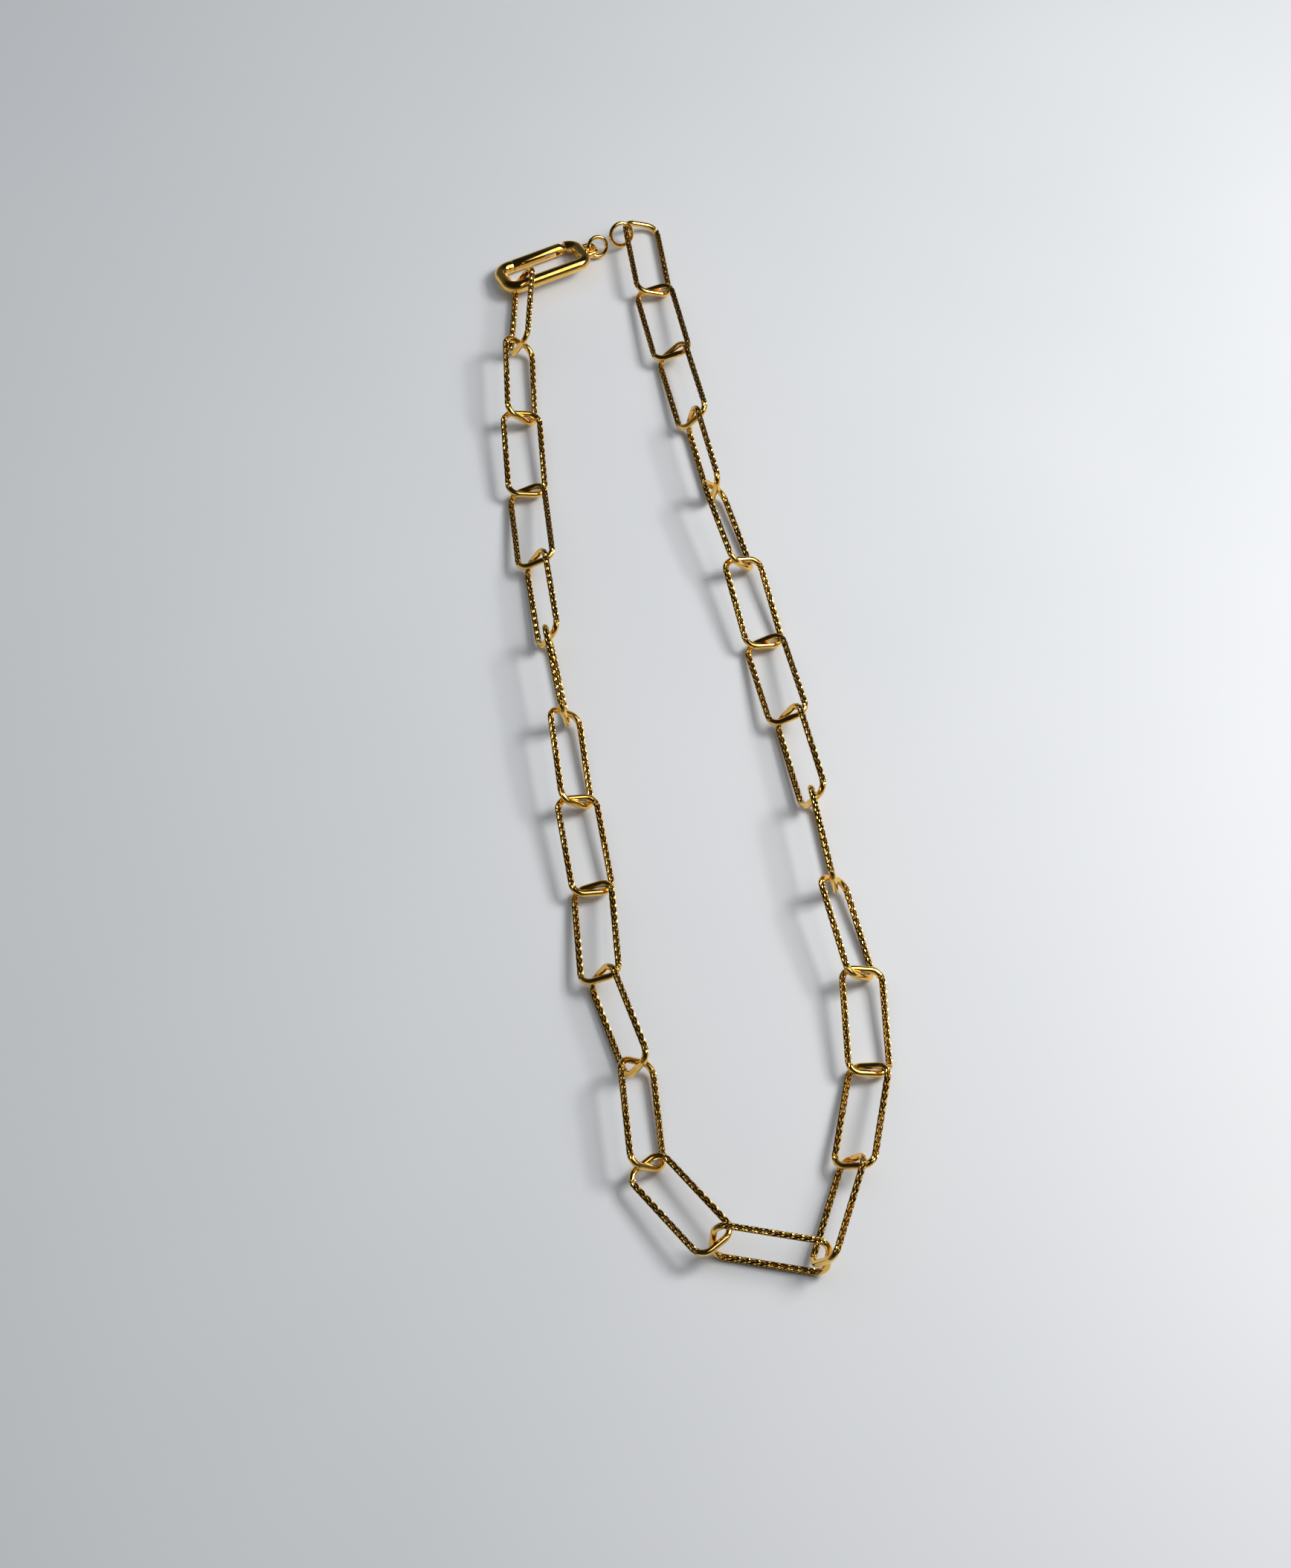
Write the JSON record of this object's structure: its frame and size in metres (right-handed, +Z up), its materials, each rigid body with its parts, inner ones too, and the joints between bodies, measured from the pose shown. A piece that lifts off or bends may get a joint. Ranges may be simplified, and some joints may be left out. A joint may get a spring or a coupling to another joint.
{
  "type": "chain necklace",
  "caption": "Paperclip chain necklace of long diamond-cut links, closed by a rectangular clasp with a hinged spring gate.",
  "frame": {"origin": "centre of the bounding box, on the surface that the chain lies on", "axes": "+Y from the front of the loop to the clasp, along the legs; +X to the right seen from the front; +Z up from the surface"},
  "size_m": [0.0582, 0.1888, 0.0072],
  "materials": {
    "diamond_cut_gold": "diamond-cut yellow gold plate",
    "polished_gold": "polished yellow gold plate",
    "spring_steel": "plain spring steel"
  },
  "bodies": {
    "link_01": {"link_01": "diamond_cut_gold"},
    "link_02": {"link_02": "diamond_cut_gold"},
    "link_03": {"link_03": "diamond_cut_gold"},
    "link_04": {"link_04": "diamond_cut_gold"},
    "link_05": {"link_05": "diamond_cut_gold"},
    "link_06": {"link_06": "diamond_cut_gold"},
    "link_07": {"link_07": "diamond_cut_gold"},
    "link_08": {"link_08": "diamond_cut_gold"},
    "link_09": {"link_09": "diamond_cut_gold"},
    "link_10": {"link_10": "diamond_cut_gold"},
    "link_11": {"link_11": "diamond_cut_gold"},
    "link_12": {"link_12": "diamond_cut_gold"},
    "link_13": {"link_13": "diamond_cut_gold"},
    "link_14": {"link_14": "diamond_cut_gold"},
    "link_15": {"link_15": "diamond_cut_gold"},
    "link_16": {"link_16": "diamond_cut_gold"},
    "link_17": {"link_17": "diamond_cut_gold"},
    "link_18": {"link_18": "diamond_cut_gold"},
    "link_19": {"link_19": "diamond_cut_gold"},
    "link_20": {"link_20": "diamond_cut_gold"},
    "link_21": {"link_21": "diamond_cut_gold"},
    "link_22": {"link_22": "diamond_cut_gold"},
    "link_23": {"link_23": "diamond_cut_gold"},
    "link_24": {"link_24": "diamond_cut_gold"},
    "link_25": {"link_25": "diamond_cut_gold"},
    "link_26": {"link_26": "diamond_cut_gold"},
    "clasp": {"clasp_frame": "polished_gold"},
    "gate": {"clasp_gate": "polished_gold", "gate_pin": "polished_gold", "gate_spring": "spring_steel"},
    "clasp_ring": {"clasp_ring": "polished_gold"},
    "chain_ring": {"chain_ring": "polished_gold"}
  },
  "joints": [
    {"name": "link_12_swing", "type": "hinge", "parent": "link_13", "child": "link_12", "pos_m": [0.00279, -0.08992, 0.00318], "axis": [0.0623, 0.4184, 0.9061], "range_deg": [0, 60]},
    {"name": "link_11_swing", "type": "hinge", "parent": "link_12", "child": "link_11", "pos_m": [-0.00643, -0.07853, 0.00213], "axis": [0.7771, 0.6293, 0], "range_deg": [-15, 60]},
    {"name": "link_10_swing", "type": "hinge", "parent": "link_11", "child": "link_10", "pos_m": [-0.00723, -0.06355, 0.00319], "axis": [0.7614, 0.0862, -0.6425], "range_deg": [-60, 60]},
    {"name": "link_09_swing", "type": "hinge", "parent": "link_10", "child": "link_09", "pos_m": [-0.01215, -0.04971, 0.00307], "axis": [0.511, 0.189, 0.8386], "range_deg": [-18, 60]},
    {"name": "link_08_swing", "type": "hinge", "parent": "link_09", "child": "link_08", "pos_m": [-0.01323, -0.03511, 0.00207], "axis": [-0.9161, -0.0946, -0.3895], "range_deg": [-24, 51]},
    {"name": "link_07_swing", "type": "hinge", "parent": "link_08", "child": "link_07", "pos_m": [-0.01553, -0.02064, 0.00285], "axis": [-0.9712, -0.1637, 0.1734], "range_deg": [-42, 30]},
    {"name": "link_06_swing", "type": "hinge", "parent": "link_07", "child": "link_06", "pos_m": [-0.01727, -0.0061, 0.00376], "axis": [-0.721, -0.1289, 0.6808], "range_deg": [-60, 54]},
    {"name": "link_05_swing", "type": "hinge", "parent": "link_06", "child": "link_05", "pos_m": [-0.01982, 0.00835, 0.00376], "axis": [0.1371, 0.0241, -0.9903], "range_deg": [-51, 0]},
    {"name": "link_04_swing", "type": "hinge", "parent": "link_05", "child": "link_04", "pos_m": [-0.02181, 0.02288, 0.00335], "axis": [0.492, 0.0916, 0.8657], "range_deg": [0, 48]},
    {"name": "link_03_swing", "type": "hinge", "parent": "link_04", "child": "link_03", "pos_m": [-0.02331, 0.0374, 0.00185], "axis": [0.9115, 0.1342, 0.3889], "range_deg": [-30, 51]},
    {"name": "link_02_swing", "type": "hinge", "parent": "link_03", "child": "link_02", "pos_m": [-0.02429, 0.05202, 0.00289], "axis": [-0.9784, -0.0797, 0.1905], "range_deg": [-48, 33]},
    {"name": "link_01_swing", "type": "hinge", "parent": "link_02", "child": "link_01", "pos_m": [-0.02475, 0.06667, 0.00343], "axis": [0.7059, 0.0482, -0.7067], "range_deg": [-60, 60]},
    {"name": "clasp_swing", "type": "hinge", "parent": "link_01", "child": "clasp", "pos_m": [-0.0239, 0.08132, 0.00339], "axis": [0.4993, -0.0262, 0.866], "range_deg": [-60, 15]},
    {"name": "clasp_ring_swing", "type": "hinge", "parent": "clasp", "child": "clasp_ring", "pos_m": [-0.01205, 0.08833, 0.00215], "axis": [-0.4032, 0.8767, -0.2622], "range_deg": [-39, 39]},
    {"name": "link_14_swing", "type": "hinge", "parent": "link_13", "child": "link_14", "pos_m": [0.01825, -0.09293, 0.00351], "axis": [0.0623, 0.4184, 0.9061], "range_deg": [-60, 0]},
    {"name": "link_15_swing", "type": "hinge", "parent": "link_14", "child": "link_15", "pos_m": [0.02258, -0.07867, 0.00339], "axis": [-0.4811, 0.1387, -0.8656], "range_deg": [-18, 60]},
    {"name": "link_16_swing", "type": "hinge", "parent": "link_15", "child": "link_16", "pos_m": [0.02571, -0.06438, 0.0021], "axis": [-0.886, 0.1549, -0.4371], "range_deg": [-27, 60]},
    {"name": "link_17_swing", "type": "hinge", "parent": "link_16", "child": "link_17", "pos_m": [0.02541, -0.04971, 0.00295], "axis": [-0.9777, -0.0318, 0.2074], "range_deg": [-18, 60]},
    {"name": "link_18_swing", "type": "hinge", "parent": "link_17", "child": "link_18", "pos_m": [0.02185, -0.03543, 0.00375], "axis": [0.6653, 0.2064, -0.7175], "range_deg": [-27, 60]},
    {"name": "link_19_swing", "type": "hinge", "parent": "link_18", "child": "link_19", "pos_m": [0.01974, -0.02089, 0.00375], "axis": [-0.1548, -0.0225, 0.9877], "range_deg": [-60, 0]},
    {"name": "link_20_swing", "type": "hinge", "parent": "link_19", "child": "link_20", "pos_m": [0.01672, -0.00654, 0.00333], "axis": [-0.5135, -0.1328, -0.8477], "range_deg": [-51, 60]},
    {"name": "link_21_swing", "type": "hinge", "parent": "link_20", "child": "link_21", "pos_m": [0.01373, 0.00774, 0.00176], "axis": [0.9182, 0.228, 0.3239], "range_deg": [-39, 39]},
    {"name": "link_22_swing", "type": "hinge", "parent": "link_21", "child": "link_22", "pos_m": [0.01073, 0.02203, 0.00321], "axis": [-0.94, -0.2234, 0.2577], "range_deg": [-54, 60]},
    {"name": "link_23_swing", "type": "hinge", "parent": "link_22", "child": "link_23", "pos_m": [0.00662, 0.03611, 0.00372], "axis": [-0.5566, -0.1915, 0.8084], "range_deg": [-60, 0]},
    {"name": "link_24_swing", "type": "hinge", "parent": "link_23", "child": "link_24", "pos_m": [0.00368, 0.05049, 0.00372], "axis": [-0.2037, -0.0417, -0.9781], "range_deg": [0, 51]},
    {"name": "link_25_swing", "type": "hinge", "parent": "link_24", "child": "link_25", "pos_m": [0.00071, 0.06483, 0.00287], "axis": [0.6961, 0.1852, 0.6937], "range_deg": [-36, 39]},
    {"name": "link_26_swing", "type": "hinge", "parent": "link_25", "child": "link_26", "pos_m": [-0.00208, 0.0792, 0.00191], "axis": [-0.9613, -0.1992, -0.1904], "range_deg": [-45, 27]},
    {"name": "chain_ring_swing", "type": "hinge", "parent": "link_26", "child": "chain_ring", "pos_m": [-0.00648, 0.09089, 0.00305], "axis": [0.1387, -0.9903, 0.0078], "range_deg": [-60, 60]},
    {"name": "gate_swing", "type": "hinge", "parent": "clasp", "child": "gate", "pos_m": [-0.0182, 0.08879, 0.00134], "axis": [-0.1096, 0.2382, 0.965], "range_deg": [0, 18], "stiffness_Nm_per_rad": 0.002, "springref_deg": -17.19}
  ]
}
